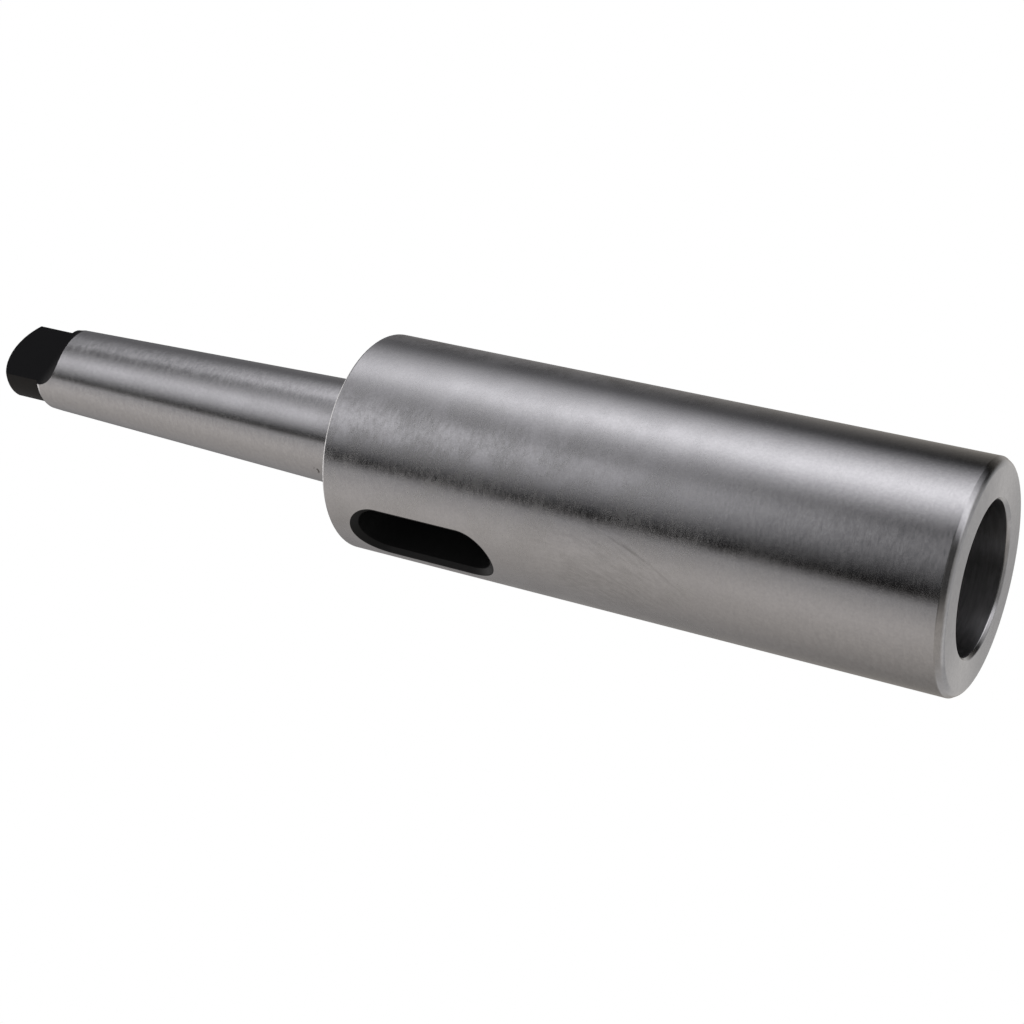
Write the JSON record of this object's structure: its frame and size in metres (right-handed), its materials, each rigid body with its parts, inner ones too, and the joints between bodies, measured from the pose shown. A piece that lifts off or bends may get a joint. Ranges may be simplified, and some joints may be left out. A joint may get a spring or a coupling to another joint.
{
  "type": "morse taper sleeve",
  "caption": "Steel extension sleeve with a number 3 Morse taper shank and tang, a number 4 Morse taper socket and a drift slot through the body.",
  "frame": {"origin": "centre of the mouth face of the socket, on which the sleeve stands", "axes": "+Z along the axis from the mouth to the tang; the drift slot passes through along Y; the flats of the tang face +X and -X"},
  "size_m": [0.048, 0.048, 0.2405],
  "materials": {
    "ground_steel": "ground bright all over, with a black heat-treated tang"
  },
  "bodies": {
    "root": {"taper_sleeve": "ground_steel"}
  },
  "joints": []
}
